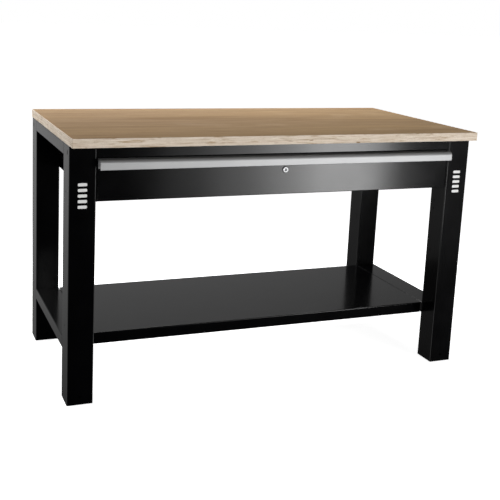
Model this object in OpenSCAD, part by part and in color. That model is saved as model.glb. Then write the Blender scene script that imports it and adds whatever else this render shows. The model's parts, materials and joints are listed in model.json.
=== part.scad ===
// Steel-framed workbench with a plywood top, a lower shelf and one full-width drawer.
// Millimetres. The origin is on the floor, under the centre of the worktop; +X is to the right
// of a person standing at the drawer, +Y points away from them and +Z is up.

/* [Worktop] */
// Width of the board, along X
top_w = 1500; // [1300:10:1800]
// Depth of the board, along Y
top_d = 750; // [730:10:900]
// Thickness of the board
top_t = 30; // [28:1:40]
// Height of the work surface above the floor
bench_h = 900; // [850:10:1000]
// Reach of the board past the front legs
front_overhang = 45; // [36:1:50]
// Reach of the board past the rear legs
rear_overhang = 15; // [0:1:20]

/* [Legs and beams] */
// Outside width of a square leg
leg_w = 88; // [84:1:100]
// Thickness of the leg, beam, rail and shelf sheet
sheet_t = 2; // [1.6:0.1:2.4]
// Outside radius of the folds in that sheet
fold_r = 3; // [2.6:0.1:4]
// Height of the side beams and of the shelf edge
beam_h = 40; // [38:1:50]
// Width of an upper side beam
upper_beam_w = 40; // [36:1:50]
// Height of the front rail above the drawer
rail_h = 40; // [34:1:44]
// Height of the rear rail
rear_rail_h = 100; // [90:5:140]
// Height of the shelf surface above the floor
shelf_z = 212; // [180:1:350]

/* [Drawer] */
// Height of the drawer front with its handle
drawer_h = 138; // [136:1:170]
// Gap between the handle and the front rail
drawer_gap = 3; // [3:0.5:8]
// Depth of the folded drawer front, front to back
front_depth = 18; // [16:1:22]
// Height of the tray walls
tray_h = 100; // [96:1:104]
// Thickness of the drawer and housing sheet
thin_t = 1.2; // [1:0.1:1.5]
// Distance that the drawer opens
travel = 560; // [400:10:570]

/* [Handle] */
// Distance from the drawer front to the face of the grip
grip_reach = 31; // [26:1:34]
// Height of the vertical face of the grip
grip_face_h = 18; // [14:1:20]
// Wall thickness of the extrusion
grip_t = 2.5; // [2:0.1:3]

/* [Slides] */
// Length of a telescopic slide
slide_len = 600; // [590:5:610]
// Outside height of a slide
slide_h = 45.7; // [45:0.1:46]
// Thickness of a slide between housing and drawer
slide_w = 12.7; // [12.7:0.1:13]
// Balls in each row of a cage
ball_count = 6; // [4:1:8]

/* [Lock] */
// Diameter of the lock's visible collar
collar_d = 22; // [20:1:24]
// Distance from the lock's centre up to the top of the handle
lock_drop = 52; // [50:1:56]
// Length of the locking lever from the lock's centre
cam_len = 38; // [36:1:40]

/* [Hidden] */
$fn = 32;
eps = 1;                                   // overshoot of every cutting tool

// Frame
under_top_z = bench_h - top_t;
leg_inner_x = top_w / 2 - leg_w;
leg_front_y = -top_d / 2 + front_overhang;
leg_rear_y = top_d / 2 - rear_overhang;
beam_y0 = leg_front_y + leg_w;
beam_len = leg_rear_y - leg_front_y - 2 * leg_w;
plate_t = 3;                               // welded end plates of beams and rails
base_t = 4;                                // plates that close the feet of the legs
base_clear = 0.2;
anchor_r = 5.5;                            // floor anchor hole, for an M10 anchor
lip_w = 12;                                // folded return lips
beam_bolt_r = 4;
rail_bolt_r = 3;
hole_clear = 0.3;                          // extra radius of a bolt's clearance hole
thread_clear = 0.05;                       // radial gap between a thread and its nut

// Holes in the legs, measured from a leg's end face and inner face
slot_y = 28;
slot_z = under_top_z - 24;
slot_r = 4;
slot_rise = 8;
side_hole_r = 3;
side_hole_z = 716;
low_hole_front_z = 266;
low_hole_rear_z = 224;
foot_hole_z = 27;
foot_hole_r = 4;
shelf_hole_zs = [431, 595, 627];
shelf_hole_y = 64;
facing_hole_z = 287;
facing_hole_x = 54;

// Beam bolts, from a leg's inner face and from the floor
upper_bolt_x = leg_w - upper_beam_w / 2;
upper_bolt_z = under_top_z - beam_h / 2;
lower_bolt_xs = [leg_w * 0.27, leg_w * 0.73];
lower_bolt_z = shelf_z - beam_h / 2;
beam_bolts_xz = [
    [upper_bolt_x, upper_bolt_z],
    [lower_bolt_xs[0], lower_bolt_z],
    [lower_bolt_xs[1], lower_bolt_z]
];

// Housing, rails and their bolts
house_t = 1.5;
house_lip = 4.5;                           // visible front edge of the housing beside the drawer
house_flange = 12;
house_x = leg_inner_x - house_t;           // inner face of the right housing side
house_y1 = leg_rear_y - 32;
rail_z0 = under_top_z - rail_h;
rail_depth = 40;
rear_rail_depth = 28;
rail_notch = house_lip - house_t + 0.5;
rail_bolt_z = rail_z0 + rail_h / 2;
rail_bolt_ys = [leg_front_y + 14, leg_front_y + 30];
rear_bolt_y = leg_rear_y - rear_rail_depth / 2;
rear_bolt_zs = [under_top_z - 25, under_top_z - 75];
house_bolt_y_front = leg_front_y + leg_w / 2;
house_bolt_y_rear = leg_rear_y - leg_w + 24;
house_mark_y = leg_rear_y - 114;           // round hole near the rear of a housing side

// Drawer
drawer_top_z = rail_z0 - drawer_gap;
drawer_z0 = drawer_top_z - drawer_h;
front_half_w = leg_inner_x - 6;
front_back_y = leg_front_y + front_depth;
pan_top_z = drawer_top_z - grip_t;
pan_lip_low = 24;
pan_lip_side = 30;
pan_lip_top = 16;
house_bolt_zs = [drawer_z0 + 16, drawer_z0 + 101];
house_mark_z = drawer_z0 + 24;
tray_z0 = drawer_z0 + 11;
tray_floor_z = tray_z0 + 2 * thin_t;       // upper face of the bottom sheet
tray_half_w = house_x - slide_w;
tray_y1 = front_back_y + slide_len - 4;
tray_fold_r = 2.4;
tray_lip = 10;
hat_h = 9;
hat_w = 46;
hat_brim = 12;
hat_inset = 170;                           // from the tray's front and back to its stiffeners
hat_end = 6;                               // from a stiffener's end to the side's lower lip
tray_rivet_xs = [-560, -280, 0, 280, 560];
tray_rivet_z = drawer_z0 + pan_lip_low - 6;
side_rivet_x = front_half_w - 20;
side_rivet_zs = [drawer_z0 + 51, drawer_z0 + 91];
rivet_points = concat(
    [for (x = tray_rivet_xs) [x, tray_rivet_z]],
    [for (x = [-side_rivet_x, side_rivet_x], z = side_rivet_zs) [x, z]]
);
rivet_r = 2;

// Handle
grip_r = 12;                               // outer radius between the flat top and the face
grip_ledge = 14;
grip_screw_r = 2;
grip_screw_z = drawer_top_z - 17;
grip_screw_xs = [-600, -300, 0, 300, 600];

// Slides: u is the distance from the housing side towards the drawer
slide_y0 = front_back_y + 4;
slide_z = drawer_z0 + 56;
ball_u = 8.2;
outer_ball_r = 1.75;
outer_ball_z = slide_h / 2 - 3.25;
inner_ball_r = 1.5;
inner_ball_z = outer_ball_z - 4.35;
race_clear = 0.05;
cage_t = 0.6;
cage_spare = 70;                           // overlap left beyond the cage when the slide is open
cage_len = slide_len - travel / 2 - cage_spare;
cage_mid_y = slide_y0 + slide_len / 2;
slide_screw_r = 2;
slide_screw_ys = [30, slide_len / 2, slide_len - 30];
outer_web = 1.5;
outer_flange_u = 10.5;
outer_flange_t = 2.25;
middle_u0 = 4;
middle_web = 1.2;
middle_grip = 1;                           // metal outside the middle of an outer ball
inner_grip = 0.75;                         // metal outside the middle of an inner ball
inner_u0 = 6.6;
inner_web = 1.5;
inner_flange_t = 2.3;
outer_cage_u = 2.6;
inner_cage_u = 5.5;
ball_pitch = cage_len / ball_count;
ball_ys = [for (i = [0 : ball_count - 1]) cage_mid_y - cage_len / 2 + ball_pitch * (i + 0.5)];

// Lock
lock_z = drawer_top_z - lock_drop;
collar_y = leg_front_y - 5;
barrel_r = 9;
plug_r = 6;
plug_clear = 0.05;
barrel_back_y = leg_front_y + 24;
tail_w = 7;
cam_t = 2.5;
cam_y = barrel_back_y + 2;
striker_t = 2;
striker_y = barrel_back_y - 3.5;
striker_z0 = tray_z0 + tray_h + 3;
striker_rivet_xs = [-14, 14];
striker_rivet_y = striker_y + 12;
key_w = 2.4;
key_h = 8;
key_depth = 12;
cam_screw_r = 2;
cam_screw_in = 6;                          // length of the lever screw inside the plug

// M6 bolts and nuts
m6_head_h = 4;
m6_flats = 10;
m6_nut_h = 5;
washer_r = 6;

// Worktop screws
screw_r = 2.25;
screw_clear = 0.5;
screw_bite = 20;
driver_r = 7;
side_screw_x = top_w / 2 - upper_beam_w / 2;
side_screw_inset = 60;
side_screw_ys = [for (d = [side_screw_inset, beam_len / 2, beam_len - side_screw_inset]) beam_y0 + d];
cross_screw_xs = [-500, 0, 500];
front_screw_y = leg_front_y + 22;
rear_screw_y = leg_rear_y - rear_rail_depth / 2;
top_screws_xy = concat(
    [for (x = [-side_screw_x, side_screw_x], y = side_screw_ys) [x, y]],
    [for (x = cross_screw_xs, y = [front_screw_y, rear_screw_y]) [x, y]]
);

// Shelf
shelf_gap = 1.6;                           // washer thickness between an end flange and a side beam
shelf_end_x = leg_inner_x - shelf_gap;
shelf_lip = 15;
shelf_hat_ys = [beam_y0 + beam_len * 0.3, beam_y0 + beam_len * 0.7];
shelf_hat_h = 20;
shelf_hat_w = 60;
shelf_hat_brim = 14;
shelf_hat_end = 12;                        // distance from a stiffener's end to the end flange
shelf_bolt_inset = 70;
shelf_bolt_ys = [for (d = [shelf_bolt_inset, beam_len / 2, beam_len - shelf_bolt_inset]) beam_y0 + d];
shelf_bolt_z = shelf_z - beam_h / 2;
corner_notch = 4;

// ---- Helpers -------------------------------------------------------------------------------

// Copies a right-hand part to the left as well
module both_sides() {
    children();
    mirror([1, 0, 0]) children();
}

// Extrudes a section drawn in Y and Z along +X
module along_x(len) {
    rotate([90, 0, 90]) linear_extrude(len) children();
}

// Extrudes a section drawn in X and Z along +Y
module along_y(len) {
    translate([0, len, 0]) rotate([90, 0, 0]) linear_extrude(len) children();
}

module rod_x(len, r) {
    rotate([0, 90, 0]) cylinder(h = len, r = r);
}

module rod_y(len, r) {
    rotate([-90, 0, 0]) cylinder(h = len, r = r);
}

// Hexagonal prism along +X, measured across its flats
module hex_x(len, flats) {
    rotate([0, 90, 0]) cylinder(h = len, r = flats / sqrt(3), $fn = 6);
}

module hex_y(len, flats) {
    rotate([-90, 0, 0]) cylinder(h = len, r = flats / sqrt(3), $fn = 6);
}

module rounded_rect(w, d, r) {
    translate([r, 0]) square([w - 2 * r, d]);
    translate([0, r]) square([w, d - 2 * r]);
    for (x = [r, w - r], y = [r, d - r])
        translate([x, y]) circle(r);
}

// Rectangle with its two corners at x = 0 rounded
module folded_rect(w, h, r) {
    translate([r, 0]) square([w - r, h]);
    translate([0, r]) square([w, h - 2 * r]);
    for (y = [r, h - r])
        translate([r, y]) circle(r);
}

// Folded C-section: web at x = 0, open towards +x
module channel(w, h, t, r) {
    difference() {
        folded_rect(w, h, r);
        translate([t, t]) folded_rect(w, h - 2 * t, r - t);
    }
}

// Top-hat section: crown down, brims up, centred on x = 0, brims' top face at y = 0
module hat(w, h, brim, t) {
    for (side = [-1, 1]) {
        translate([side * (w / 2 - brim / 2) - brim / 2, -t]) square([brim, t]);
        translate([side * (w / 2 - brim + t / 2) - t / 2, -h]) square([t, h]);
    }
    translate([-w / 2 + brim, -h]) square([w - 2 * brim, t]);
}

// ---- Frame ---------------------------------------------------------------------------------

// A leg in its own frame: inner face at x = 0, end face at y = 0
module leg_body(low_hole_z, facing_hole) {
    difference() {
        linear_extrude(under_top_z) difference() {
            rounded_rect(leg_w, leg_w, fold_r);
            translate([sheet_t, sheet_t])
                rounded_rect(leg_w - 2 * sheet_t, leg_w - 2 * sheet_t, fold_r - sheet_t);
        }
        // Outer face: a slot near the top and two small holes
        translate([leg_w - sheet_t - eps, slot_y, slot_z]) {
            for (dz = [-slot_rise / 2, slot_rise / 2])
                translate([0, 0, dz]) rod_x(sheet_t + 2 * eps, slot_r);
            translate([0, -slot_r, -slot_rise / 2]) cube([sheet_t + 2 * eps, 2 * slot_r, slot_rise]);
        }
        for (z = [side_hole_z, low_hole_z])
            translate([leg_w - sheet_t - eps, leg_w / 2, z]) rod_x(sheet_t + 2 * eps, side_hole_r);
        // Inner face: holes for accessories
        for (z = shelf_hole_zs)
            translate([-eps, shelf_hole_y, z]) rod_x(sheet_t + 2 * eps, side_hole_r);
        // End faces: one hole near the floor through both
        translate([leg_w / 2, -eps, foot_hole_z]) rod_y(leg_w + 2 * eps, foot_hole_r);
        if (facing_hole)
            translate([facing_hole_x, leg_w - sheet_t - eps, facing_hole_z])
                rod_y(sheet_t + 2 * eps, side_hole_r);
        // Face towards the beams: bolt holes
        for (p = beam_bolts_xz)
            translate([p[0], leg_w - sheet_t - eps, p[1]])
                rod_y(sheet_t + 2 * eps, beam_bolt_r + hole_clear);
    }
}

// Bolt holes of the rails and the housing through the inner face of the right legs
module inner_face_holes() {
    translate([leg_inner_x - eps, 0, 0]) {
        for (y = rail_bolt_ys)
            translate([0, y, rail_bolt_z]) rod_x(sheet_t + 2 * eps, rail_bolt_r + hole_clear);
        for (z = rear_bolt_zs)
            translate([0, rear_bolt_y, z]) rod_x(sheet_t + 2 * eps, rail_bolt_r + hole_clear);
        for (y = [house_bolt_y_front, house_bolt_y_rear], z = house_bolt_zs)
            translate([0, y, z]) rod_x(sheet_t + 2 * eps, rail_bolt_r + hole_clear);
    }
}

module front_leg() {
    difference() {
        translate([leg_inner_x, leg_front_y, 0]) leg_body(low_hole_front_z, false);
        inner_face_holes();
    }
}

module rear_leg() {
    difference() {
        translate([leg_inner_x, leg_rear_y, 0]) mirror([0, 1, 0]) leg_body(low_hole_rear_z, true);
        inner_face_holes();
    }
}

module worktop() {
    color("#b98f60") difference() {
        translate([-top_w / 2, -top_d / 2, under_top_z]) cube([top_w, top_d, top_t]);
        for (p = top_screws_xy)
            translate([p[0], p[1], under_top_z - eps])
                cylinder(h = screw_bite + eps, r = screw_r + thread_clear);
    }
}

module leg_front_right() {
    color("#17181a") front_leg();
}

module leg_front_left() {
    color("#17181a") mirror([1, 0, 0]) front_leg();
}

module leg_rear_right() {
    color("#17181a") rear_leg();
}

module leg_rear_left() {
    color("#17181a") mirror([1, 0, 0]) rear_leg();
}

module leg_base_plates() {
    w = leg_w - 2 * (sheet_t + base_clear);
    color("#17181a") both_sides()
        for (y = [leg_front_y, leg_rear_y - leg_w])
            translate([leg_inner_x + leg_w / 2, y + leg_w / 2, 0]) difference() {
                translate([-w / 2, -w / 2, 0]) linear_extrude(base_t)
                    rounded_rect(w, w, fold_r - sheet_t);
                translate([0, 0, -eps]) cylinder(h = base_t + 2 * eps, r = anchor_r);
            }
}

// Bolt holes through both end plates of a right side beam
module beam_end_holes() {
    for (p = beam_bolts_xz)
        translate([leg_inner_x + p[0], beam_y0 - eps, p[1]])
            rod_y(beam_len + 2 * eps, beam_bolt_r + hole_clear);
}

module upper_beam() {
    difference() {
        translate([top_w / 2, beam_y0, under_top_z - beam_h]) mirror([1, 0, 0]) {
            along_y(beam_len) channel(upper_beam_w, beam_h, sheet_t, fold_r);
            for (y = [0, beam_len - plate_t])
                translate([0, y, 0]) along_y(plate_t) folded_rect(upper_beam_w, beam_h, fold_r);
        }
        beam_end_holes();
        for (y = side_screw_ys) {
            translate([side_screw_x, y, under_top_z - sheet_t - eps])
                cylinder(h = sheet_t + 2 * eps, r = screw_r + screw_clear);
            translate([side_screw_x, y, under_top_z - beam_h - eps])
                cylinder(h = sheet_t + 2 * eps, r = driver_r);
        }
    }
}

module upper_beam_right() {
    color("#17181a") upper_beam();
}

module upper_beam_left() {
    color("#17181a") mirror([1, 0, 0]) upper_beam();
}

// Closed above, open below between two return lips
module lower_beam() {
    difference() {
        translate([leg_inner_x, beam_y0, shelf_z - beam_h]) {
            along_y(beam_len) difference() {
                rounded_rect(leg_w, beam_h, fold_r);
                translate([sheet_t, sheet_t])
                    rounded_rect(leg_w - 2 * sheet_t, beam_h - 2 * sheet_t, fold_r - sheet_t);
                translate([lip_w, -eps]) square([leg_w - 2 * lip_w, sheet_t + 2 * eps]);
            }
            for (y = [0, beam_len - plate_t])
                translate([0, y, 0]) along_y(plate_t) rounded_rect(leg_w, beam_h, fold_r);
        }
        beam_end_holes();
        for (y = shelf_bolt_ys)
            translate([leg_inner_x - eps, y, shelf_bolt_z])
                rod_x(sheet_t + 2 * eps, rail_bolt_r + hole_clear);
    }
}

module lower_beam_right() {
    color("#17181a") lower_beam();
}

module lower_beam_left() {
    color("#17181a") mirror([1, 0, 0]) lower_beam();
}

module front_rail() {
    color("#17181a") difference() {
        translate([-house_x, leg_front_y, rail_z0]) {
            along_x(2 * house_x) channel(rail_depth, rail_h, sheet_t, fold_r);
            for (x = [0, 2 * house_x - plate_t])
                translate([x, 0, 0]) along_x(plate_t) folded_rect(rail_depth, rail_h, fold_r);
        }
        // Corner notches clear the front edges of the housing sides
        both_sides() translate([house_x - rail_notch, leg_front_y - eps, rail_z0 - eps])
            cube([rail_notch + eps, sheet_t + 2 * eps, rail_h + 2 * eps]);
        both_sides() for (y = rail_bolt_ys)
            translate([house_x - plate_t - eps, y, rail_bolt_z])
                rod_x(plate_t + 2 * eps, rail_bolt_r + hole_clear);
        for (x = cross_screw_xs) {
            translate([x, front_screw_y, under_top_z - sheet_t - eps])
                cylinder(h = sheet_t + 2 * eps, r = screw_r + screw_clear);
            translate([x, front_screw_y, rail_z0 - eps])
                cylinder(h = sheet_t + 2 * eps, r = driver_r);
        }
        for (x = striker_rivet_xs)
            translate([x, striker_rivet_y, rail_z0 - eps]) cylinder(h = sheet_t + 2 * eps, r = rivet_r);
    }
}

module rear_rail() {
    color("#17181a") difference() {
        translate([-leg_inner_x, leg_rear_y, under_top_z - rear_rail_h]) mirror([0, 1, 0]) {
            along_x(2 * leg_inner_x) channel(rear_rail_depth, rear_rail_h, sheet_t, fold_r);
            for (x = [0, 2 * leg_inner_x - plate_t])
                translate([x, 0, 0]) along_x(plate_t) folded_rect(rear_rail_depth, rear_rail_h, fold_r);
        }
        both_sides() for (z = rear_bolt_zs)
            translate([leg_inner_x - plate_t - eps, rear_bolt_y, z])
                rod_x(plate_t + 2 * eps, rail_bolt_r + hole_clear);
        for (x = cross_screw_xs) {
            translate([x, rear_screw_y, under_top_z - sheet_t - eps])
                cylinder(h = sheet_t + 2 * eps, r = screw_r + screw_clear);
            translate([x, rear_screw_y, under_top_z - rear_rail_h - eps])
                cylinder(h = sheet_t + 2 * eps, r = driver_r);
        }
    }
}

// ---- Shelf ---------------------------------------------------------------------------------

module shelf_panel() {
    inner_d = beam_len - 2 * sheet_t;
    color("#141516") difference() {
        translate([-shelf_end_x, beam_y0, shelf_z - beam_h]) {
            along_x(2 * shelf_end_x) difference() {
                rounded_rect(beam_len, beam_h, fold_r);
                translate([sheet_t, sheet_t])
                    rounded_rect(inner_d, beam_h - 2 * sheet_t, fold_r - sheet_t);
                translate([shelf_lip, -eps]) square([beam_len - 2 * shelf_lip, sheet_t + 2 * eps]);
            }
            // Folded end flanges
            for (x = [0, 2 * shelf_end_x - sheet_t])
                translate([x, shelf_lip, 0]) cube([sheet_t, beam_len - 2 * shelf_lip, beam_h - sheet_t]);
        }
        // Relief notches at the corners of the sheet
        both_sides() for (y = [beam_y0 - eps, beam_y0 + beam_len - corner_notch])
            translate([shelf_end_x - corner_notch, y, shelf_z - beam_h - eps])
                cube([corner_notch + eps, corner_notch + eps, beam_h + 2 * eps]);
        both_sides() for (y = shelf_bolt_ys)
            translate([shelf_end_x - sheet_t - eps, y, shelf_bolt_z])
                rod_x(sheet_t + 2 * eps, rail_bolt_r + hole_clear);
    }
}

module shelf_stiffeners() {
    half = shelf_end_x - sheet_t - shelf_hat_end;
    color("#141516") for (y = shelf_hat_ys)
        translate([-half, y, shelf_z - sheet_t]) along_x(2 * half)
            hat(shelf_hat_w, shelf_hat_h, shelf_hat_brim, house_t);
}

// ---- Drawer housing ------------------------------------------------------------------------

module housing() {
    len = house_y1 - leg_front_y;
    fold = 2.4;
    front_clear = rail_depth + 5;
    color("#17181a") difference() {
        union() {
            translate([leg_inner_x, leg_front_y, drawer_z0]) mirror([1, 0, 0])
                along_y(len) channel(house_flange, under_top_z - drawer_z0, house_t, fold);
            translate([leg_inner_x - house_lip, leg_front_y, drawer_z0])
                cube([house_lip, house_t, under_top_z - drawer_z0]);
            translate([leg_inner_x - house_flange, house_y1 - house_t, drawer_z0])
                cube([house_flange, house_t, under_top_z - drawer_z0]);
        }
        // The flanges stop short of the front rail and the drawer front
        translate([leg_inner_x - house_flange - eps, leg_front_y + house_t, drawer_z0 - eps])
            cube([house_flange + eps - house_t, front_clear, under_top_z - drawer_z0 + 2 * eps]);
        translate([leg_inner_x - house_flange - eps, leg_front_y - eps, drawer_z0 - eps])
            cube([house_flange - house_lip + eps, front_clear, under_top_z - drawer_z0 + 2 * eps]);
        for (y = rail_bolt_ys)
            translate([house_x - eps, y, rail_bolt_z]) rod_x(house_t + 2 * eps, rail_bolt_r + hole_clear);
        for (y = [house_bolt_y_front, house_bolt_y_rear], z = house_bolt_zs)
            translate([house_x - eps, y, z]) rod_x(house_t + 2 * eps, rail_bolt_r + hole_clear);
        for (y = slide_screw_ys)
            translate([house_x - eps, slide_y0 + y, slide_z])
                rod_x(house_t + 2 * eps, slide_screw_r + thread_clear);
        translate([house_x - eps, house_mark_y, house_mark_z]) rod_x(house_t + 2 * eps, side_hole_r);
    }
}

module housing_right() {
    housing();
}

module housing_left() {
    mirror([1, 0, 0]) housing();
}

// ---- Telescopic slides ---------------------------------------------------------------------

// Places a section drawn in u and z on the right housing side
module slide_place(y, len) {
    translate([house_x, y, slide_z]) mirror([1, 0, 0]) along_y(len) children();
}

// Grooves that the balls run in
module races(z, r) {
    for (side = [-1, 1])
        translate([ball_u, side * z]) circle(r + race_clear);
}

// Two flanges of one slide member
module flanges(u0, u1, z0, z1) {
    for (side = [-1, 1])
        translate([u0, side * (z0 + z1) / 2 - (z1 - z0) / 2]) square([u1 - u0, z1 - z0]);
}

module slide_outer() {
    color("#c3c6c9") difference() {
        slide_place(slide_y0, slide_len) difference() {
            union() {
                translate([0, -slide_h / 2]) square([outer_web, slide_h]);
                flanges(0, outer_flange_u, slide_h / 2 - outer_flange_t, slide_h / 2);
            }
            races(outer_ball_z, outer_ball_r);
        }
        for (y = slide_screw_ys)
            translate([house_x - outer_web - eps, slide_y0 + y, slide_z])
                rod_x(outer_web + 2 * eps, slide_screw_r + thread_clear);
    }
}

module slide_middle() {
    z1 = outer_ball_z - middle_grip;
    z0 = inner_ball_z + inner_grip;
    color("#b4b8bc") slide_place(slide_y0, slide_len) difference() {
        union() {
            translate([middle_u0, -z1]) square([middle_web, 2 * z1]);
            flanges(middle_u0, outer_flange_u, z0, z1);
        }
        races(outer_ball_z, outer_ball_r);
        races(inner_ball_z, inner_ball_r);
    }
}

module slide_inner() {
    z1 = inner_ball_z - inner_grip;
    color("#c3c6c9") difference() {
        slide_place(slide_y0, slide_len) difference() {
            union() {
                translate([slide_w - inner_web, -z1]) square([inner_web, 2 * z1]);
                flanges(inner_u0, slide_w, z1 - inner_flange_t, z1);
            }
            races(inner_ball_z, inner_ball_r);
        }
        for (y = slide_screw_ys)
            translate([tray_half_w - eps, slide_y0 + y, slide_z])
                rod_x(inner_web + 2 * eps, slide_screw_r + thread_clear);
    }
}

module slide_outer_right() {
    slide_outer();
}

module slide_outer_left() {
    mirror([1, 0, 0]) slide_outer();
}

module slide_middle_right() {
    slide_middle();
}

module slide_middle_left() {
    mirror([1, 0, 0]) slide_middle();
}

module slide_inner_right() {
    slide_inner();
}

module slide_inner_left() {
    mirror([1, 0, 0]) slide_inner();
}

// Sheet cage with its web at u0 and one row of ball holes in each flange
module cage(u0, z, r) {
    color("#8f9498") difference() {
        slide_place(cage_mid_y - cage_len / 2, cage_len) {
            translate([u0, -z - cage_t / 2]) square([cage_t, 2 * z + cage_t]);
            flanges(u0, ball_u + r, z - cage_t / 2, z + cage_t / 2);
        }
        for (y = ball_ys)
            translate([house_x - ball_u, y, slide_z - z - cage_t])
                cylinder(h = 2 * (z + cage_t), r = r + 2 * race_clear);
    }
}

module outer_cage_right() {
    cage(outer_cage_u, outer_ball_z, outer_ball_r);
}

module outer_cage_left() {
    mirror([1, 0, 0]) cage(outer_cage_u, outer_ball_z, outer_ball_r);
}

module inner_cage_right() {
    cage(inner_cage_u, inner_ball_z, inner_ball_r);
}

module inner_cage_left() {
    mirror([1, 0, 0]) cage(inner_cage_u, inner_ball_z, inner_ball_r);
}

module ball_rows(z, r) {
    color("#e2e4e6") both_sides()
        for (y = ball_ys, side = [-1, 1])
            translate([house_x - ball_u, y, slide_z + side * z]) sphere(r);
}

module outer_balls() {
    ball_rows(outer_ball_z, outer_ball_r);
}

module inner_balls() {
    ball_rows(inner_ball_z, inner_ball_r);
}

// ---- Drawer --------------------------------------------------------------------------------

// Side profile of the right wall: x = 0 at its outer face, z = 0 at its foot, lips towards -x
module side_section() {
    difference() {
        translate([-tray_lip, 0]) square([tray_lip, tray_h]);
        translate([-tray_lip - eps, thin_t]) square([tray_lip + eps - thin_t, tray_h - 2 * thin_t]);
        translate([-tray_fold_r, -eps]) square([tray_fold_r + eps, tray_fold_r + eps]);
    }
    intersection() {
        translate([-tray_fold_r, 0]) square([tray_fold_r, tray_fold_r]);
        difference() {
            translate([-tray_fold_r, tray_fold_r]) circle(tray_fold_r);
            translate([-tray_fold_r, tray_fold_r]) circle(tray_fold_r - thin_t);
        }
    }
}

module drawer_side() {
    len = tray_y1 - front_back_y;
    color("#1b1c1e") difference() {
        translate([tray_half_w, front_back_y, tray_z0]) along_y(len) side_section();
        for (y = slide_screw_ys)
            translate([tray_half_w - thin_t - eps, slide_y0 + y, slide_z])
                rod_x(thin_t + 2 * eps, slide_screw_r + thread_clear);
    }
}

module drawer_side_right() {
    drawer_side();
}

module drawer_side_left() {
    mirror([1, 0, 0]) drawer_side();
}

// Flat sheet that lies on the lower lips of the sides
module drawer_bottom() {
    half = tray_half_w - tray_fold_r;
    color("#1b1c1e") translate([-half, front_back_y, tray_z0 + thin_t])
        cube([2 * half, tray_y1 - front_back_y, thin_t]);
}

// Wall between the sides, from the bottom sheet up to the upper lips
module tray_wall(y) {
    half = tray_half_w - thin_t;
    translate([-half, y, tray_floor_z]) cube([2 * half, thin_t, tray_h - 3 * thin_t]);
}

module drawer_inner_front() {
    color("#1b1c1e") difference() {
        tray_wall(front_back_y);
        translate([0, front_back_y - eps, lock_z]) rod_y(thin_t + 2 * eps, barrel_r + 1);
        for (p = rivet_points)
            translate([p[0], front_back_y - eps, p[1]])
                rod_y(thin_t + 2 * eps, rivet_r + thread_clear);
    }
}

module drawer_back() {
    lip_x = tray_half_w - tray_lip;
    color("#1b1c1e") {
        tray_wall(tray_y1 - thin_t);
        translate([-lip_x, tray_y1 - tray_lip, tray_z0 + tray_h - thin_t])
            cube([2 * lip_x, tray_lip, thin_t]);
    }
}

module drawer_front() {
    color("#1b1c1e") difference() {
        translate([-front_half_w, leg_front_y, drawer_z0]) along_x(2 * front_half_w)
            folded_rect(front_depth, pan_top_z - drawer_z0, tray_fold_r);
        translate([-front_half_w + thin_t, leg_front_y + thin_t, drawer_z0 + thin_t])
            cube([2 * (front_half_w - thin_t), front_depth - 2 * thin_t, pan_top_z - drawer_z0 - 2 * thin_t]);
        translate([-front_half_w + pan_lip_side, leg_front_y + thin_t, drawer_z0 + pan_lip_low])
            cube([
                2 * (front_half_w - pan_lip_side),
                front_depth,
                pan_top_z - drawer_z0 - pan_lip_low - pan_lip_top
            ]);
        translate([0, leg_front_y - eps, lock_z]) rod_y(thin_t + 2 * eps, barrel_r + hole_clear);
        for (x = grip_screw_xs)
            translate([x, leg_front_y - eps, grip_screw_z])
                rod_y(thin_t + 2 * eps, grip_screw_r + hole_clear);
        for (p = rivet_points)
            translate([p[0], front_back_y - thin_t - eps, p[1]])
                rod_y(thin_t + 2 * eps, rivet_r + thread_clear);
    }
}

module drawer_stiffeners() {
    half = tray_half_w - tray_lip - hat_end;
    color("#1b1c1e") for (y = [front_back_y + hat_inset, tray_y1 - hat_inset])
        translate([-half, y, tray_z0 + thin_t]) along_x(2 * half) hat(hat_w, hat_h, hat_brim, thin_t);
}

// Section of the handle: x = 0 at the drawer front, x grows towards the drawer, y = 0 at its top
module grip_section() {
    edge_r = grip_t * 0.7;
    ledge_t = grip_t * 0.95;
    face_y = -grip_r - grip_face_h;
    difference() {
        intersection() {
            translate([grip_r - grip_reach, -grip_r]) circle(grip_r, $fn = 96);
            translate([-grip_reach, -grip_r]) square(grip_r);
        }
        translate([grip_r - grip_reach, -grip_r]) circle(grip_r - grip_t, $fn = 96);
    }
    translate([-grip_reach, face_y]) square([grip_t, grip_face_h + eps]);
    translate([grip_r - grip_reach - eps, -grip_t]) square([grip_reach - grip_r + eps, grip_t]);
    translate([-grip_t, face_y]) square([grip_t, -face_y - grip_t / 4]);
    translate([-grip_t, -grip_t]) square([grip_ledge + grip_t, ledge_t]);
    // Rounded lower edge of the grip
    translate([-grip_reach + edge_r, face_y]) circle(edge_r);
}

module drawer_handle() {
    color("#a9abad") difference() {
        translate([-front_half_w, leg_front_y, drawer_top_z]) along_x(2 * front_half_w) grip_section();
        for (x = grip_screw_xs)
            translate([x, leg_front_y - grip_t - eps, grip_screw_z])
                rod_y(grip_t + 2 * eps, grip_screw_r + thread_clear);
    }
}

// ---- Lock ----------------------------------------------------------------------------------

module lock_barrel() {
    rim = 2.5;
    color("#d0d2d4") difference() {
        union() {
            translate([0, collar_y + rim, lock_z]) rod_y(leg_front_y - collar_y - rim, collar_d / 2);
            translate([0, collar_y, lock_z]) rotate([-90, 0, 0])
                cylinder(h = rim, r1 = collar_d / 2 - rim, r2 = collar_d / 2);
            translate([0, leg_front_y, lock_z]) rod_y(barrel_back_y - leg_front_y, barrel_r);
        }
        translate([0, collar_y - eps, lock_z])
            rod_y(barrel_back_y - collar_y + 2 * eps, plug_r + plug_clear);
    }
}

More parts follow.
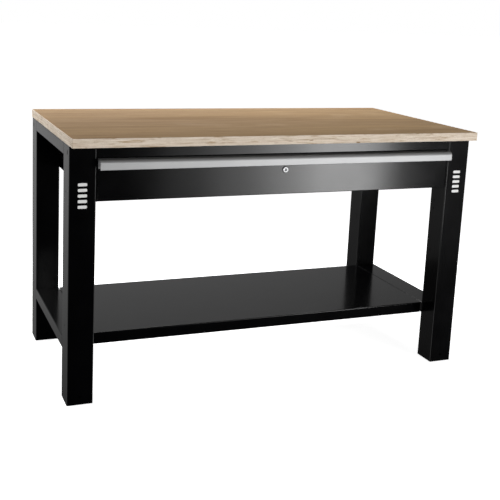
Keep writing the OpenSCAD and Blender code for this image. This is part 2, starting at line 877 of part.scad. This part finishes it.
module lock_plug() {
    color("#6e7072") difference() {
        union() {
            translate([0, collar_y, lock_z]) rod_y(cam_y - collar_y - eps / 2, plug_r);
            translate([-tail_w / 2, cam_y - eps, lock_z - tail_w / 2]) cube([tail_w, cam_t + eps, tail_w]);
        }
        translate([-key_w / 2, collar_y - eps, lock_z - key_h / 2]) cube([key_w, key_depth, key_h]);
        translate([0, cam_y - cam_screw_in - eps, lock_z])
            rod_y(cam_t + cam_screw_in + 2 * eps, cam_screw_r + thread_clear);
    }
}

// Lever, shown in the unlocked position along +X
module lock_cam() {
    end_r = 7;
    hub_r = 9;
    color("#c3c6c9") translate([0, cam_y, lock_z]) difference() {
        union() {
            rod_y(cam_t, hub_r);
            translate([0, 0, -end_r]) cube([cam_len - end_r, cam_t, 2 * end_r]);
            translate([cam_len - end_r, 0, 0]) rod_y(cam_t, end_r);
        }
        translate([-tail_w / 2 - thread_clear, -eps, -tail_w / 2 - thread_clear])
            cube([tail_w + 2 * thread_clear, cam_t + 2 * eps, tail_w + 2 * thread_clear]);
    }
}

module lock_nut() {
    nut_h = 4;
    flats = 24;
    color("#c3c6c9") translate([0, leg_front_y + thin_t, lock_z]) difference() {
        hex_y(nut_h, flats);
        translate([0, -eps, 0]) rod_y(nut_h + 2 * eps, barrel_r + thread_clear);
    }
}

module cam_screw() {
    head_h = 2.2;
    head_r = 4.5;
    color("#8f9498") translate([0, cam_y, lock_z]) {
        translate([0, cam_t, 0]) rod_y(head_h, head_r);
        translate([0, -cam_screw_in, 0]) rod_y(cam_t + cam_screw_in, cam_screw_r);
    }
}

module lock_striker() {
    half = 24;
    foot = 20;
    color("#17181a") difference() {
        union() {
            translate([-half, striker_y, striker_z0]) cube([2 * half, striker_t, rail_z0 - striker_z0]);
            translate([-half, striker_y, rail_z0 - striker_t]) cube([2 * half, foot, striker_t]);
        }
        for (x = striker_rivet_xs)
            translate([x, striker_rivet_y, rail_z0 - striker_t - eps])
                cylinder(h = striker_t + 2 * eps, r = rivet_r);
    }
}

// ---- Fasteners -----------------------------------------------------------------------------

module worktop_screws() {
    head_h = 3;
    head_r = 4.5;
    color("#b9bcbf") for (p = top_screws_xy)
        translate([p[0], p[1], under_top_z - sheet_t]) {
            translate([0, 0, -head_h]) cylinder(h = head_h, r1 = head_r * 0.8, r2 = head_r);
            cylinder(h = sheet_t + screw_bite - eps, r = screw_r);
        }
}

// Places children at every end of the right beams, bolt axis along +Y out of the leg
module beam_bolt_places() {
    for (p = beam_bolts_xz) {
        translate([leg_inner_x + p[0], beam_y0, p[1]]) children();
        translate([leg_inner_x + p[0], beam_y0 + beam_len, p[1]]) mirror([0, 1, 0]) children();
    }
}

module beam_bolts() {
    head_h = 5.3;
    flats = 13;
    length = 18;
    color("#b9bcbf") both_sides() beam_bolt_places() {
        translate([0, -sheet_t - head_h, 0]) hex_y(head_h, flats);
        translate([0, -sheet_t, 0]) rod_y(length, beam_bolt_r);
    }
}

module beam_nuts() {
    nut_h = 6.5;
    flats = 13;
    color("#b9bcbf") both_sides() beam_bolt_places() difference() {
        translate([0, plate_t, 0]) hex_y(nut_h, flats);
        translate([0, plate_t - eps, 0]) rod_y(nut_h + 2 * eps, beam_bolt_r + thread_clear);
    }
}

// M6 bolt along +X with its head's seat at x = 0, through a stack of sheets
module bolt_m6(stack) {
    translate([-m6_head_h, 0, 0]) hex_x(m6_head_h, m6_flats);
    rod_x(stack + m6_nut_h + eps, rail_bolt_r);
}

module nut_m6() {
    difference() {
        hex_x(m6_nut_h, m6_flats);
        translate([-eps, 0, 0]) rod_x(m6_nut_h + 2 * eps, rail_bolt_r + thread_clear);
    }
}

module rail_bolts() {
    color("#b9bcbf") both_sides() {
        for (y = rail_bolt_ys)
            translate([house_x - plate_t, y, rail_bolt_z]) bolt_m6(plate_t + house_t + sheet_t);
        for (z = rear_bolt_zs)
            translate([leg_inner_x - plate_t, rear_bolt_y, z]) bolt_m6(plate_t + sheet_t);
    }
}

module rail_nuts() {
    color("#b9bcbf") both_sides() translate([leg_inner_x + sheet_t, 0, 0]) {
        for (y = rail_bolt_ys)
            translate([0, y, rail_bolt_z]) nut_m6();
        for (z = rear_bolt_zs)
            translate([0, rear_bolt_y, z]) nut_m6();
    }
}

module housing_bolts() {
    color("#b9bcbf") both_sides()
        for (y = [house_bolt_y_front, house_bolt_y_rear], z = house_bolt_zs)
            translate([house_x, y, z]) bolt_m6(house_t + sheet_t);
}

module housing_nuts() {
    color("#b9bcbf") both_sides()
        for (y = [house_bolt_y_front, house_bolt_y_rear], z = house_bolt_zs)
            translate([leg_inner_x + sheet_t, y, z]) nut_m6();
}

module shelf_bolts() {
    color("#b9bcbf") both_sides() for (y = shelf_bolt_ys)
        translate([shelf_end_x - sheet_t, y, shelf_bolt_z]) bolt_m6(2 * sheet_t + shelf_gap);
}

// Washers that keep the shelf's end flanges off the side beams
module shelf_washers() {
    color("#b9bcbf") both_sides() for (y = shelf_bolt_ys)
        translate([shelf_end_x, y, shelf_bolt_z]) difference() {
            rod_x(shelf_gap, washer_r);
            translate([-eps, 0, 0]) rod_x(shelf_gap + 2 * eps, rail_bolt_r + hole_clear);
        }
}

module shelf_nuts() {
    color("#b9bcbf") both_sides() for (y = shelf_bolt_ys)
        translate([leg_inner_x + sheet_t, y, shelf_bolt_z]) nut_m6();
}

// Flat-headed screws that hold the outer slide members, heads inside the slides
module slide_fixed_screws() {
    head_h = 0.9;
    head_r = 4.5;
    color("#b9bcbf") both_sides() for (y = slide_screw_ys)
        translate([house_x - outer_web, slide_y0 + y, slide_z]) {
            translate([-head_h, 0, 0]) rod_x(head_h, head_r);
            rod_x(outer_web + house_t, slide_screw_r);
        }
}

// Pan-headed screws from inside the tray into the inner slide members
module slide_drawer_screws() {
    head_h = 2.4;
    head_r = 4;
    color("#b9bcbf") both_sides() for (y = slide_screw_ys)
        translate([tray_half_w - thin_t, slide_y0 + y, slide_z]) {
            translate([-head_h, 0, 0]) rod_x(head_h, head_r);
            rod_x(thin_t + inner_web, slide_screw_r);
        }
}

module handle_screws() {
    head_h = 2.6;
    head_r = 4;
    color("#b9bcbf") for (x = grip_screw_xs)
        translate([x, leg_front_y - grip_t, grip_screw_z]) {
            rod_y(grip_t + thin_t, grip_screw_r);
            translate([0, grip_t + thin_t, 0]) rod_y(head_h, head_r);
        }
}

module tray_rivets() {
    head_h = 1.2;
    head_r = 4;
    tail_h = 1.6;
    tail_r = 3;
    color("#b9bcbf") for (p = rivet_points)
        translate([p[0], front_back_y - thin_t, p[1]]) {
            translate([0, -tail_h, 0]) rod_y(tail_h, tail_r);
            rod_y(2 * thin_t, rivet_r);
            translate([0, 2 * thin_t, 0]) rod_y(head_h, head_r);
        }
}

module striker_rivets() {
    head_h = 1.2;
    head_r = 3.6;
    color("#b9bcbf") for (x = striker_rivet_xs)
        translate([x, striker_rivet_y, rail_z0 - striker_t]) {
            translate([0, 0, -head_h]) cylinder(h = head_h, r = head_r);
            cylinder(h = striker_t + sheet_t, r = rivet_r - thread_clear);
            translate([0, 0, striker_t + sheet_t]) cylinder(h = head_h, r = head_r);
        }
}

// ---- Nodes ---------------------------------------------------------------------------------

worktop();
leg_front_left();
leg_front_right();
leg_rear_left();
leg_rear_right();
leg_base_plates();
upper_beam_left();
upper_beam_right();
lower_beam_left();
lower_beam_right();
front_rail();
rear_rail();
shelf_panel();
shelf_stiffeners();
housing_left();
housing_right();
slide_outer_left();
slide_outer_right();
slide_middle_left();
slide_middle_right();
slide_inner_left();
slide_inner_right();
outer_cage_left();
outer_cage_right();
inner_cage_left();
inner_cage_right();
outer_balls();
inner_balls();
drawer_bottom();
drawer_side_left();
drawer_side_right();
drawer_inner_front();
drawer_back();
drawer_front();
drawer_stiffeners();
drawer_handle();
lock_barrel();
lock_plug();
lock_cam();
lock_nut();
cam_screw();
lock_striker();
worktop_screws();
beam_bolts();
beam_nuts();
rail_bolts();
rail_nuts();
housing_bolts();
housing_nuts();
shelf_bolts();
shelf_nuts();
shelf_washers();
slide_fixed_screws();
slide_drawer_screws();
handle_screws();
tray_rivets();
striker_rivets();
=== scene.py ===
"""Workbench with a plywood top, square steel legs, a lower shelf and one full-width drawer.

Metres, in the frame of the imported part: the floor is z = 0, +X is to the right of a person
standing at the drawer, and +Y points away from them.
"""

import json
import math

import bmesh
import bpy
from mathutils import Euler, Matrix, Vector


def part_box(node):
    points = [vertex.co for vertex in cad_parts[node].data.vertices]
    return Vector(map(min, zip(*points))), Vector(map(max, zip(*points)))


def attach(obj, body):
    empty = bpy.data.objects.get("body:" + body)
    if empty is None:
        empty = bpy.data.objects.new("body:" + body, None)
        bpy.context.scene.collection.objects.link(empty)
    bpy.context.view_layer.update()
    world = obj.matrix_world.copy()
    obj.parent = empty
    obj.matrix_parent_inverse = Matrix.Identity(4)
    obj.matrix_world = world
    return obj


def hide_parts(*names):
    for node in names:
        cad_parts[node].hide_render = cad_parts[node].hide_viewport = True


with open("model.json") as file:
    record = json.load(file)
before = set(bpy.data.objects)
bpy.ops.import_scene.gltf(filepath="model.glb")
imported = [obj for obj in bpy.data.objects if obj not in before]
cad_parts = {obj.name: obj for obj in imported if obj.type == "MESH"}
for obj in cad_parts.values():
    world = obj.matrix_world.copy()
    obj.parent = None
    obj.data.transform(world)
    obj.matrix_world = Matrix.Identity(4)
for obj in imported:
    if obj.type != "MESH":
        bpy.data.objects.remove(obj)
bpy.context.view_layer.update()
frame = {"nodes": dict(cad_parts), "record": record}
record = frame["record"]
scene = bpy.context.scene


# ---- Node helpers ------------------------------------------------------------------------

class Nodes:
    """Short calls for making and wiring the nodes of a tree."""

    def __init__(self, tree):
        self.tree = tree

    def node(self, kind, **values):
        """A new node with those properties."""
        made = self.tree.nodes.new(kind)
        for key, value in values.items():
            setattr(made, key, value)
        return made

    def link(self, source, target):
        self.tree.links.new(source, target)

    def maths(self, how, a, b=None):
        """One step of arithmetic. A and b are numbers or sockets."""
        made = self.node("ShaderNodeMath", operation=how)
        for socket, value in zip(made.inputs, (a, b)):
            if isinstance(value, float):
                socket.default_value = value
            elif value is not None:
                self.link(value, socket)
        return made.outputs[0]

    def spread(self, value, low, high, start=0.25, end=0.75, kind="LINEAR"):
        """A value mapped from start..end to low..high."""
        made = self.node("ShaderNodeMapRange", interpolation_type=kind)
        for name, number in (("From Min", start), ("From Max", end), ("To Min", low), ("To Max", high)):
            made.inputs[name].default_value = number
        self.link(value, made.inputs["Value"])
        return made.outputs["Result"]

    def split(self, vector):
        """The X, Y and Z of a vector."""
        made = self.node("ShaderNodeSeparateXYZ")
        self.link(vector, made.inputs[0])
        return tuple(made.outputs)


class Shader(Nodes):
    """A new material around one Principled shader, in object coordinates."""

    def __init__(self, name, base, roughness, metallic=0.0, specular=0.5):
        self.material = bpy.data.materials.new(name)
        self.material.use_nodes = True
        super().__init__(self.material.node_tree)
        self.bsdf = self.tree.nodes["Principled BSDF"]
        self.bsdf.inputs["Base Color"].default_value = (*base, 1.0)
        self.bsdf.inputs["Roughness"].default_value = roughness
        self.bsdf.inputs["Metallic"].default_value = metallic
        self.bsdf.inputs["Specular IOR Level"].default_value = specular
        self.place = self.node("ShaderNodeTexCoord").outputs["Object"]

    def noise(self, scale, detail=3.0, roughness=0.5, distortion=0.0, vector=None):
        """Noise from 0 to 1, with scale cycles per metre unless a vector is given."""
        texture = self.node("ShaderNodeTexNoise")
        texture.inputs["Scale"].default_value = scale
        texture.inputs["Detail"].default_value = detail
        texture.inputs["Roughness"].default_value = roughness
        texture.inputs["Distortion"].default_value = distortion
        self.link(vector or self.place, texture.inputs["Vector"])
        return texture.outputs["Fac"]

    def grain(self, cycles, offset=(0.0, 0.0, 0.0), **look):
        """Noise with its own cycles per metre along X, Y and Z."""
        mapping = self.node("ShaderNodeMapping")
        mapping.inputs["Scale"].default_value = cycles
        mapping.inputs["Location"].default_value = offset
        self.link(self.place, mapping.inputs["Vector"])
        return self.noise(1.0, vector=mapping.outputs["Vector"], **look)

    def ramp(self, value, *stops):
        """A colour for each value: stops are (position, (r, g, b))."""
        made = self.node("ShaderNodeValToRGB")
        elements = made.color_ramp.elements
        while len(elements) < len(stops):
            elements.new(0.5)
        for element, (position, colour) in zip(elements, stops):
            element.position = position
            element.color = (*colour, 1.0)
        self.link(value, made.inputs["Fac"])
        return made.outputs["Color"]

    def mix(self, a, b, share, how="MIX"):
        """Two colours mixed."""
        made = self.node("ShaderNodeMix", data_type="RGBA", blend_type=how)
        factor, first, second = (made.inputs[i] for i in (0, 6, 7))     # those of a colour mix
        self.link(a, first)
        self.link(b, second)
        if isinstance(share, float):
            factor.default_value = share
        else:
            self.link(share, factor)
        return made.outputs[2]

    def tinted(self, colour, *tints):
        """A colour multiplied by each of the tints."""
        for tint in tints:
            colour = self.mix(colour, tint, 1.0, "MULTIPLY")
        return colour

    def bump(self, height, depth, strength, under=None):
        """Relief of that depth in metres, on top of another bump if one is given."""
        made = self.node("ShaderNodeBump")
        made.inputs["Distance"].default_value = depth
        made.inputs["Strength"].default_value = strength
        self.link(height, made.inputs["Height"])
        if under is not None:
            self.link(under, made.inputs["Normal"])
        self.link(made.outputs["Normal"], self.bsdf.inputs["Normal"])
        return made.outputs["Normal"]

    def colour(self, source):
        self.link(source, self.bsdf.inputs["Base Color"])

    def two_tones(self, value, dark, light):
        self.colour(self.ramp(value, (0.3, dark), (0.7, light)))

    def rough(self, value, low, high):
        self.link(self.spread(value, low, high), self.bsdf.inputs["Roughness"])


# ---- Materials ---------------------------------------------------------------------------

def powder_coat():
    """Semi-gloss black powder coat with a fine orange peel."""
    s = Shader("black_powder_coat", (0.001, 0.001, 0.0012), 0.16, specular=0.2)
    clouds = s.noise(9.0, detail=2.0)
    s.two_tones(clouds, (0.0006, 0.0006, 0.0008), (0.0012, 0.0012, 0.0015))
    s.rough(clouds, 0.145, 0.17)
    peel = s.bump(s.noise(420.0, detail=1.0), 0.000004, 0.2)
    s.bump(s.noise(1400.0, detail=1.0), 0.000002, 0.15, under=peel)
    return s.material


def plywood_face():
    """Matt lacquered veneer with its grain along X."""
    s = Shader("plywood_face", (0.42, 0.285, 0.175), 0.72, specular=0.0)
    figure = s.grain((1.1, 16.0, 16.0), detail=4.0, roughness=0.6, distortion=0.8)
    fibres = s.grain((7.0, 260.0, 260.0), detail=5.0, roughness=0.62)
    pores = s.grain((42.0, 900.0, 900.0), detail=2.0)
    flitch = s.grain((0.5, 3.2, 1.0), (3.1, 1.7, 0.0), detail=1.0)
    worn = s.grain((4.0, 7.0, 1.0), (0.6, 2.3, 0.0))
    tone = s.ramp(fibres, (0.25, (0.345, 0.225, 0.127)), (0.5, (0.445, 0.310, 0.190)),
                  (0.78, (0.520, 0.377, 0.243)))
    bands = s.ramp(figure, (0.32, (0.84, 0.81, 0.77)), (0.47, (0.97, 0.965, 0.95)),
                   (0.56, (1.02, 1.02, 1.00)), (0.70, (1.09, 1.08, 1.03)))
    sheets = s.ramp(flitch, (0.35, (0.95, 0.95, 0.97)), (0.65, (1.05, 1.04, 1.00)))
    flecks = s.ramp(pores, (0.30, (0.80, 0.77, 0.74)), (0.42, (1.0, 1.0, 1.0)))
    rubbed = s.ramp(worn, (0.60, (1.0, 1.0, 1.0)), (0.74, (1.10, 1.13, 1.20)))
    s.colour(s.mix(s.tinted(tone, bands, sheets, rubbed), flecks, 0.8, "MULTIPLY"))
    s.rough(fibres, 0.66, 0.78)
    s.bump(s.mix(fibres, pores, 0.5), 0.00004, 0.5)
    return s.material


def plywood_edge(board_low, ply):
    """Cut plies: long grain and end grain in turn, thin glue lines, brown streaks and small knots."""
    s = Shader("plywood_edge", (0.66, 0.53, 0.40), 0.6, specular=0.15)
    wobble = s.grain((7.0, 7.0, 30.0), detail=1.0)
    height = s.maths("ADD", s.split(s.place)[2], s.spread(wobble, -0.00012, 0.00012))
    layer = s.maths("DIVIDE", s.maths("SUBTRACT", height, board_low), ply)
    turn = s.maths("PINGPONG", layer, 1.0)
    odd = s.maths("FLOORED_MODULO", layer, 2.0)
    along = s.grain((14.0, 14.0, 700.0), detail=4.0)
    cut = s.grain((620.0, 620.0, 260.0), detail=2.0)
    light = s.ramp(along, (0.3, (0.700, 0.612, 0.510)), (0.7, (0.870, 0.796, 0.704)))
    dark = s.ramp(cut, (0.3, (0.590, 0.485, 0.378)), (0.7, (0.740, 0.643, 0.536)))
    plies = s.mix(light, dark, s.spread(odd, 0.0, 1.0, 0.98, 1.02))
    glue = s.ramp(turn, (0.0, (0.62, 0.54, 0.46)), (0.09, (1.0, 1.0, 1.0)),
                  (0.91, (1.0, 1.0, 1.0)), (1.0, (0.62, 0.54, 0.46)))
    streaks = s.grain((11.0, 11.0, 170.0), roughness=0.65, distortion=1.1)
    brown = s.ramp(streaks, (0.35, (0.66, 0.55, 0.42)), (0.45, (0.94, 0.91, 0.87)),
                   (0.60, (1.08, 1.08, 1.08)))
    knots = s.grain((20.0, 20.0, 90.0), (5.2, 0.0, 1.4), detail=1.0)
    marks = s.ramp(knots, (0.235, (0.45, 0.34, 0.24)), (0.275, (1.0, 1.0, 1.0)))
    s.colour(s.tinted(s.mix(plies, glue, 0.7, "MULTIPLY"), brown, marks))
    s.rough(cut, 0.52, 0.66)
    s.bump(s.mix(along, cut, 0.5), 0.00005, 0.6)
    return s.material


def anodised_aluminium():
    """Satin anodised extrusion, with fine die lines along X."""
    s = Shader("anodised_aluminium", (0.34, 0.342, 0.344), 0.5, metallic=0.54)
    lines = s.grain((1.2, 2600.0, 2600.0), roughness=0.7)
    haze = s.noise(14.0, detail=2.0)
    s.two_tones(s.mix(lines, haze, 0.35), (0.315, 0.317, 0.319), (0.365, 0.367, 0.369))
    s.rough(lines, 0.46, 0.54)
    s.bump(lines, 0.000008, 0.4)
    return s.material


def lock_chrome():
    """Satin plating with faint turning marks."""
    s = Shader("lock_chrome", (0.26, 0.26, 0.265), 0.36, metallic=1.0)
    haze = s.noise(600.0, detail=2.0)
    s.two_tones(haze, (0.240, 0.241, 0.244), (0.280, 0.281, 0.284))
    s.rough(haze, 0.32, 0.40)
    s.bump(s.noise(3000.0, detail=1.0), 0.000003, 0.3)
    return s.material


def dark_nickel():
    """Dull dark plating with a cloudy finish."""
    s = Shader("dark_nickel", (0.10, 0.10, 0.103), 0.46, metallic=1.0)
    clouds = s.noise(500.0)
    s.two_tones(clouds, (0.085, 0.085, 0.088), (0.115, 0.115, 0.118))
    s.rough(clouds, 0.42, 0.50)
    s.bump(s.noise(2500.0, detail=1.0), 0.000004, 0.3)
    return s.material


def zinc_plate():
    """Zinc-plated sheet with its mottled passivation, rolled along Y."""
    s = Shader("zinc_plated_steel", (0.60, 0.61, 0.62), 0.34, metallic=1.0)
    mottle = s.noise(160.0, detail=4.0, roughness=0.6)
    rolled = s.grain((900.0, 12.0, 900.0))
    s.colour(s.ramp(s.mix(mottle, rolled, 0.5), (0.3, (0.50, 0.52, 0.54)),
                    (0.55, (0.60, 0.61, 0.62)), (0.75, (0.66, 0.65, 0.63))))
    s.rough(mottle, 0.28, 0.42)
    s.bump(rolled, 0.000008, 0.3)
    return s.material


def ball_steel():
    """Hardened polished balls."""
    s = Shader("ball_steel", (0.74, 0.75, 0.77), 0.10, metallic=1.0)
    haze = s.noise(900.0, detail=2.0)
    s.two_tones(haze, (0.70, 0.71, 0.73), (0.78, 0.79, 0.81))
    s.rough(haze, 0.07, 0.14)
    return s.material


def white_print():
    """Matt white print on the powder coat."""
    s = Shader("white_print", (0.80, 0.80, 0.79), 0.5, specular=0.3)
    speckle = s.noise(1500.0, detail=2.0)
    s.two_tones(speckle, (0.74, 0.74, 0.73), (0.84, 0.84, 0.83))
    s.rough(speckle, 0.44, 0.56)
    s.bump(speckle, 0.000008, 0.4)
    return s.material


FADE_START = 0.9        # distance from the middle of the floor at which it starts to fade
FADE_END = 2.4


def pale_floor():
    """Plain pale studio floor that fades into the white surroundings."""
    s = Shader("pale_floor", (0.86, 0.86, 0.86), 0.9, specular=0.0)
    s.two_tones(s.noise(0.7, detail=1.0), (0.880, 0.880, 0.880), (0.900, 0.900, 0.900))
    length = s.node("ShaderNodeVectorMath", operation="LENGTH")
    s.link(s.place, length.inputs[0])
    fade = s.spread(length.outputs["Value"], 0.86, 1.0, FADE_START, FADE_END)
    s.bsdf.inputs["Emission Color"].default_value = (1.0, 1.0, 1.0, 1.0)
    s.link(fade, s.bsdf.inputs["Emission Strength"])
    return s.material


# ---- Mesh helpers ------------------------------------------------------------------------

OUTLINE_STEPS = 4       # segments in each corner of a rounded rectangle


def rounded_outline(half_x, half_y, radius):
    """Points of a rounded rectangle, anticlockwise from the corner at +X, -Y."""
    points = []
    for i, (sx, sy) in enumerate([(1, -1), (1, 1), (-1, 1), (-1, -1)]):
        start = (i - 1) * math.pi / 2
        for k in range(OUTLINE_STEPS + 1):
            a = start + k * math.pi / 2 / OUTLINE_STEPS
            points.append((sx * (half_x - radius) + radius * math.cos(a),
                           sy * (half_y - radius) + radius * math.sin(a)))
    return points


def stack(bm, rings, side_material=0):
    """Closes a stack of equal rings, lowest first, into a solid. Its caps have the first material."""
    loops = [[bm.verts.new(p) for p in ring] for ring in rings]
    count = len(loops[0])
    for low, high in zip(loops, loops[1:]):
        for i in range(count):
            j = (i + 1) % count
            bm.faces.new((low[i], low[j], high[j], high[i])).material_index = side_material
    bm.faces.new(list(reversed(loops[0])))
    bm.faces.new(loops[-1])


def new_mesh(name, bm, materials):
    """An object in the scene, made from bm."""
    mesh = bpy.data.meshes.new(name)
    bm.normal_update()
    bm.to_mesh(mesh)
    bm.free()
    for material in materials:
        mesh.materials.append(material)
    made = bpy.data.objects.new(name, mesh)
    scene.collection.objects.link(made)
    return made


def new_piece(name, bm, materials, body):
    """A visible piece of the bench that rides on that body."""
    made = new_mesh(name, bm, materials)
    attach(made, body)
    return made


# ---- Worktop -----------------------------------------------------------------------------

PLIES = 21
ARRIS = 0.0012          # rounding of the board's long edges
ARRIS_STEPS = 4
CORNER = 0.0025         # rounding of its four corners, seen from above
GLUE_IN = 0.00012       # depth of the glue lines in the cut edge


def build_board(face):
    """The plywood board, with its arrises, corners and glue lines."""
    low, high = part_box("worktop")
    centre = (low + high) / 2
    half = (high - low) / 2
    ply = (high.z - low.z) / PLIES

    def ring(z, inset):
        outline = rounded_outline(half.x - inset, half.y - inset, CORNER - inset / 2)
        return [(centre.x + x, centre.y + y, z) for x, y in outline]

    arc = [k * math.pi / 2 / ARRIS_STEPS for k in range(ARRIS_STEPS + 1)]
    arris = [(ARRIS * (1 - math.cos(a)), ARRIS * (1 - math.sin(a))) for a in arc]
    levels = [(low.z + rise, inset) for rise, inset in arris]
    for i in range(1, PLIES):
        z = low.z + i * ply
        levels += [(z - GLUE_IN, 0.0), (z, GLUE_IN), (z + GLUE_IN, 0.0)]
    levels += [(high.z - drop, inset) for drop, inset in reversed(arris)]
    bm = bmesh.new()
    stack(bm, [ring(z, inset) for z, inset in levels], side_material=1)
    board = new_piece("plywood_board", bm, [face, plywood_edge(low.z, ply)], "bench")
    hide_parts("worktop")


# ---- Generic marks on the front legs -------------------------------------------------------

MARK_W = 0.030
MARK_H = 0.083
MARK_T = 0.00015
MARK_TOP = 0.119        # from the underside of the worktop down to the top of a mark
MARK_BARS = 5
BAR_SHARE = 0.55        # of the pitch from bar to bar
BAR_ROUNDING = 0.3      # of a bar's height


def build_mark(name, leg, material):
    """Five plain bars, printed on the front face of a leg."""
    low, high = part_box(leg)
    x = (low.x + high.x) / 2
    top = high.z - MARK_TOP
    pitch = MARK_H / (MARK_BARS - 1 + BAR_SHARE)
    bar = pitch * BAR_SHARE
    outline = rounded_outline(MARK_W / 2, bar / 2, bar * BAR_ROUNDING)
    bm = bmesh.new()
    for i in range(MARK_BARS):
        z = top - bar / 2 - i * pitch
        stack(bm, [[(x + u, low.y - t, z + v) for u, v in outline] for t in (0.0, MARK_T)])
    new_piece(name, bm, [material], "bench")


# ---- Floor, light and camera ---------------------------------------------------------------

FLOOR_HALF = 40.0
FLOOR_DROP = 0.0005     # keeps the floor clear of the undersides of the feet

# The key light is four upright strips side by side, each brighter than the one to its left.
KEY_EDGES = (0.6, 1.0, 1.4, 1.75, 2.42)       # from the strips' left end to their right end
KEY_RADIANCES = (1.6, 4.8, 11.0, 22.0)
KEY_Y = -3.6
KEY_Z = 0.4
KEY_HEIGHT = 1.4

# Name, place, target, size and radiance.
FILLS = (
    ("front_fill", (-1.0, -3.2, 1.5), (0.0, -0.375, 0.85), (2.0, 0.7), 9.2),
    ("left_fill", (-3.2, 1.1, 1.5), (-0.75, 0.1, 0.88), (1.6, 1.0), 10.0),
    ("top_behind", (0.0, 1.25, 1.64), (0.0, 0.2, 0.9), (3.2, 0.5), 8.8),
)

BEHIND = 0.48           # brightness of the studio behind the bench
ASIDE = 1.5             # brightness of the floor far to either side, in reflections only
AMBIENT = 0.012         # brightness of the rest of the studio

SENSOR_MM = 36.0
LENS_MM = 64.4
SHIFT = (0.068, -0.16)
CAMERA_AT = (-1.314, -3.068, 1.329)
YAW, PITCH, ROLL = (math.radians(degrees) for degrees in (21.14, -10.58, 2.34))


def build_floor():
    """A floor that only the camera sees."""
    bm = bmesh.new()
    bmesh.ops.create_grid(bm, x_segments=1, y_segments=1, size=FLOOR_HALF)
    floor = new_mesh("studio_floor", bm, [pale_floor()])
    floor.location.z = -FLOOR_DROP
    floor.visible_glossy = False
    floor.visible_diffuse = False
    floor.visible_shadow = False


def softbox(name, place, target, size, radiance):
    """A rectangular area light with that brightness, aimed at target."""
    data = bpy.data.lights.new(name, "AREA")
    data.shape = "RECTANGLE"
    data.size, data.size_y = size
    data.energy = radiance * math.pi * size[0] * size[1]
    light = bpy.data.objects.new(name, data)
    light.location = place
    light.visible_camera = False
    light.rotation_euler = (Vector(target) - Vector(place)).to_track_quat("-Z", "Y").to_euler()
    scene.collection.objects.link(light)


def build_lights():
    for i, radiance in enumerate(KEY_RADIANCES):
        left, right = KEY_EDGES[i:i + 2]
        x = (left + right) / 2
        softbox(f"key_strip_{i + 1}", (x, KEY_Y, KEY_Z), (x, 0.0, KEY_Z), (right - left, KEY_HEIGHT),
                radiance)
    for fill in FILLS:
        softbox(*fill)


def build_world():
    """White to the eye. Reflections see a studio that is bright behind the bench and dark in front,
    with a pale floor far to either side."""
    world = bpy.data.worlds.new("studio")
    scene.world = world
    world.use_nodes = True
    w = Nodes(world.node_tree)
    w.tree.nodes.clear()
    x, y, z = w.split(w.node("ShaderNodeTexCoord").outputs["Generated"])
    path = w.node("ShaderNodeLightPath").outputs
    behind = w.maths("MULTIPLY", w.spread(y, 0.0, 1.0, 0.55, 1.0, "SMOOTHSTEP"),
                     w.spread(z, 0.0, 1.0, -0.50, -0.14))
    aside = w.maths("MULTIPLY", w.spread(w.maths("ABSOLUTE", x), 0.0, 1.0, 0.58, 0.72, "SMOOTHSTEP"),
                    w.spread(z, 0.0, 1.0, 0.02, -0.12))
    glow = w.maths("MULTIPLY", w.maths("MULTIPLY", aside, path["Is Glossy Ray"]), ASIDE)
    studio = w.maths("ADD", w.maths("ADD", w.maths("MULTIPLY", behind, BEHIND), glow), AMBIENT)
    dim, white = (w.node("ShaderNodeBackground") for _ in range(2))
    for shader in (dim, white):
        shader.inputs["Color"].default_value = (1.0, 1.0, 1.0, 1.0)
        shader.inputs["Strength"].default_value = 1.0
    w.link(studio, dim.inputs["Strength"])
    mix = w.node("ShaderNodeMixShader")
    for source, target in zip((path["Is Camera Ray"], dim.outputs[0], white.outputs[0]), mix.inputs):
        w.link(source, target)
    w.link(mix.outputs[0], w.node("ShaderNodeOutputWorld").inputs["Surface"])


def build_camera():
    data = bpy.data.cameras.new("camera")
    data.sensor_width = SENSOR_MM
    data.lens = LENS_MM
    data.shift_x, data.shift_y = SHIFT
    camera = bpy.data.objects.new("camera", data)
    turn = Euler((math.pi / 2 + PITCH, 0.0, -YAW)).to_matrix() @ Matrix.Rotation(ROLL, 3, "Z")
    camera.matrix_world = Matrix.Translation(CAMERA_AT) @ turn.to_4x4()
    scene.collection.objects.link(camera)
    scene.camera = camera


# ---- Build -------------------------------------------------------------------------------

finishes = {
    "plywood": plywood_face(),
    "black_powder_coat": powder_coat(),
    "anodised_aluminium": anodised_aluminium(),
    "lock_chrome": lock_chrome(),
    "dark_nickel": dark_nickel(),
    "zinc_plated_steel": zinc_plate(),
    "ball_steel": ball_steel(),
}
for row in record["subparts"]:
    node = frame["nodes"][row["node"]]
    finish = finishes[row["material_slot"]]
    if not node.material_slots:
        node.data.materials.append(finish)
    for place in node.material_slots:
        place.material = finish

build_board(finishes["plywood"])
mark_print = white_print()
for side in ("left", "right"):
    build_mark("leg_mark_" + side, "leg_front_" + side, mark_print)

build_floor()
build_world()
build_lights()
build_camera()
scene.view_settings.view_transform = "Standard"
